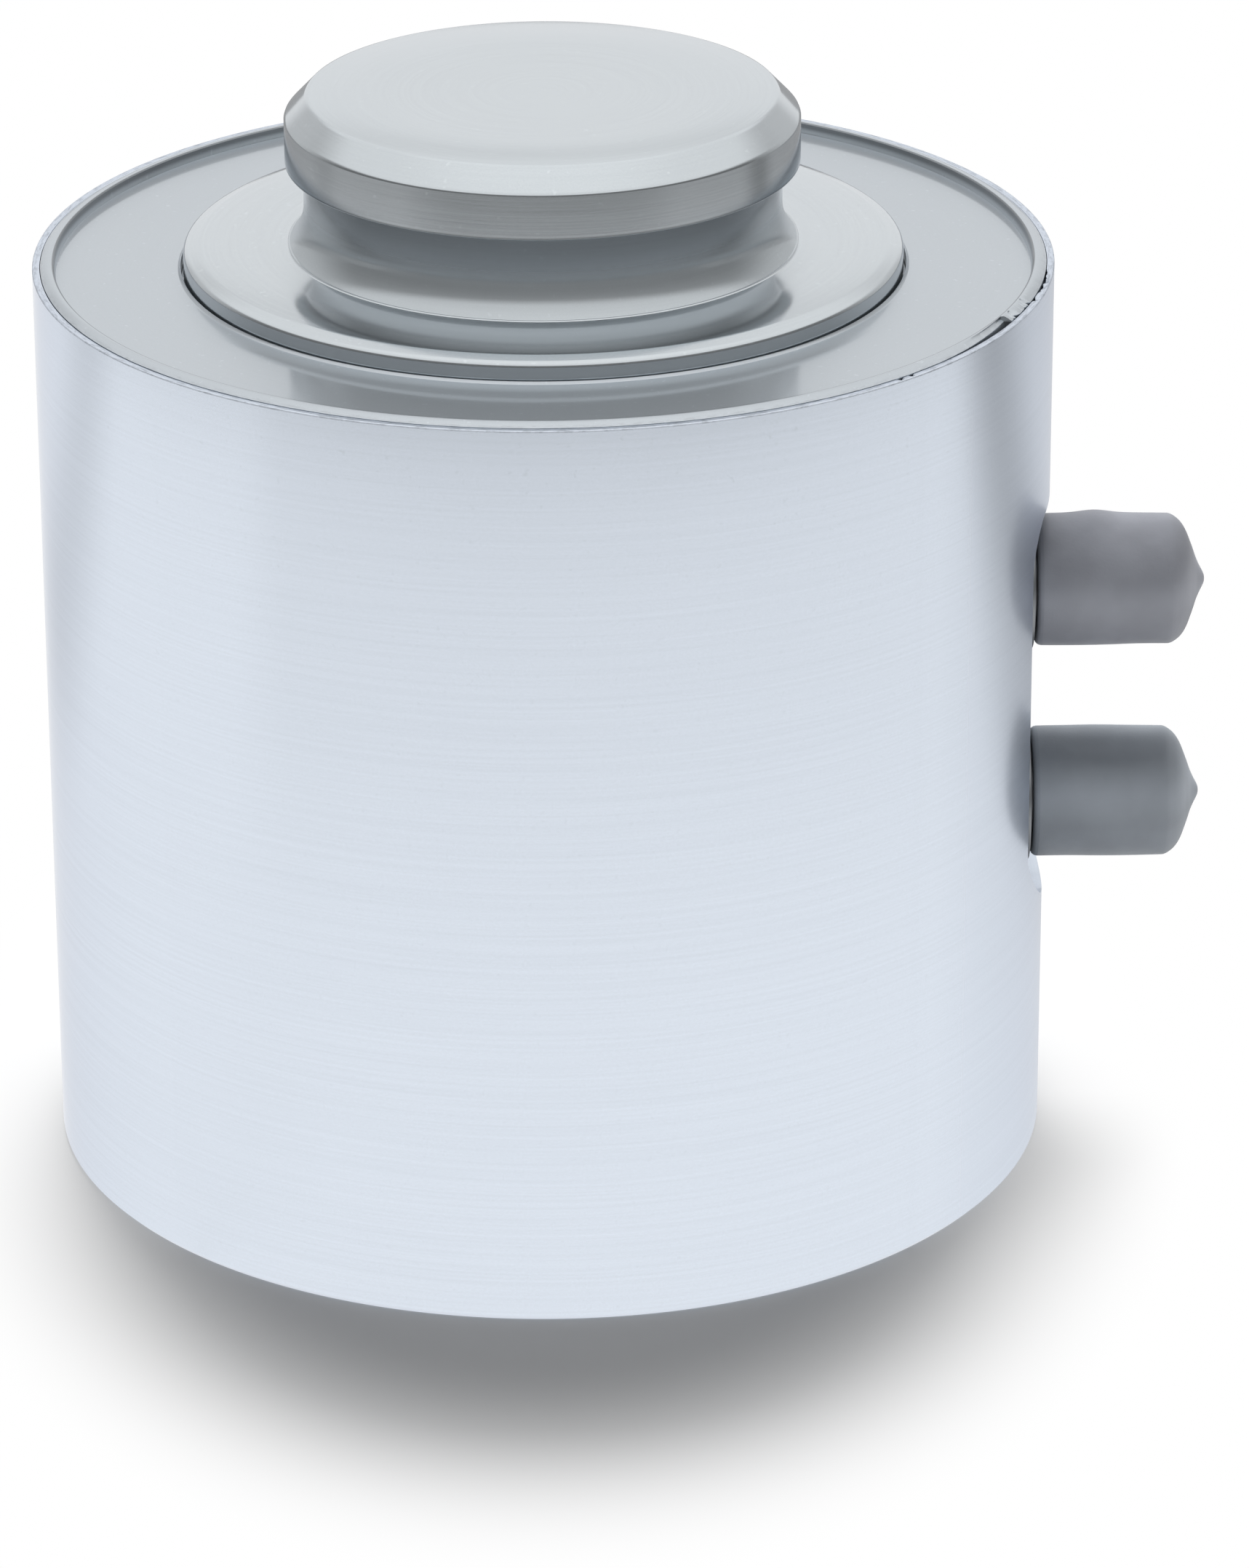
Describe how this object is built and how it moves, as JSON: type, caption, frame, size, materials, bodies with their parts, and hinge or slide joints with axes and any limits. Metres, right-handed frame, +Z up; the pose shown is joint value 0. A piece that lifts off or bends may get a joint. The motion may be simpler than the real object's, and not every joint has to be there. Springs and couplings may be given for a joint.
{
  "type": "strain gauge load cell",
  "caption": "Round stainless steel compression load cell with a raised load button, a welded top cover and side connectors in a milled pocket under soft push-on caps.",
  "frame": {"origin": "centre of the base face, on the load axis", "axes": "+Z up along the load axis to the load button, +X out through the connectors"},
  "size_m": [0.1505, 0.13, 0.1408],
  "materials": {
    "shell_steel": "satin, fine circumferential turning",
    "cover_steel": "bright rolled sheet, near mirror",
    "element_steel": "fine ground and turned",
    "ring_steel": "plain turned",
    "plug_steel": "plain turned",
    "connector_steel": "turned, satin",
    "nut_steel": "plain turned",
    "screw_steel": "plain turned",
    "pillar_brass": "plain turned",
    "contact_gold": "gold plated",
    "terminal_copper": "tinned copper",
    "insert_plastic": "matt",
    "seal_rubber": "matt",
    "cap_vinyl": "matt soft vinyl",
    "gauge_film": "satin film",
    "board_laminate": "satin",
    "resistor_body": "lacquered",
    "sleeve_red": "satin",
    "sleeve_grey": "satin"
  },
  "bodies": {
    "root": {"housing_shell": "shell_steel", "top_cover": "cover_steel", "spring_element": "element_steel", "base_ring": "ring_steel", "purge_plug": "plug_steel", "connector_shell_a": "connector_steel", "transit_cap_a": "cap_vinyl", "connector_insert_a": "insert_plastic", "seal_ring_a": "seal_rubber", "lock_nut_a": "nut_steel", "contact_pin_a1": "contact_gold", "contact_pin_a2": "contact_gold", "contact_pin_a3": "contact_gold", "contact_pin_a4": "contact_gold", "lead_bundle_a": "sleeve_grey", "strain_gauge_a1": "gauge_film", "strain_gauge_a2": "gauge_film", "strain_gauge_a3": "gauge_film", "strain_gauge_a4": "gauge_film", "connector_shell_b": "connector_steel", "transit_cap_b": "cap_vinyl", "connector_insert_b": "insert_plastic", "seal_ring_b": "seal_rubber", "lock_nut_b": "nut_steel", "contact_pin_b1": "contact_gold", "contact_pin_b2": "contact_gold", "contact_pin_b3": "contact_gold", "contact_pin_b4": "contact_gold", "lead_bundle_b": "sleeve_grey", "strain_gauge_b1": "gauge_film", "strain_gauge_b2": "gauge_film", "strain_gauge_b3": "gauge_film", "strain_gauge_b4": "gauge_film", "solder_terminal_1": "terminal_copper", "gauge_lead_1": "sleeve_red", "trim_resistor_1": "resistor_body", "solder_terminal_2": "terminal_copper", "gauge_lead_2": "sleeve_red", "trim_resistor_2": "resistor_body", "solder_terminal_3": "terminal_copper", "gauge_lead_3": "sleeve_red", "trim_resistor_3": "resistor_body", "solder_terminal_4": "terminal_copper", "gauge_lead_4": "sleeve_red", "trim_resistor_4": "resistor_body", "compensation_board": "board_laminate", "board_pillar_1": "pillar_brass", "board_screw_1": "screw_steel", "board_pillar_2": "pillar_brass", "board_screw_2": "screw_steel", "board_pillar_3": "pillar_brass", "board_screw_3": "screw_steel"}
  },
  "joints": []
}
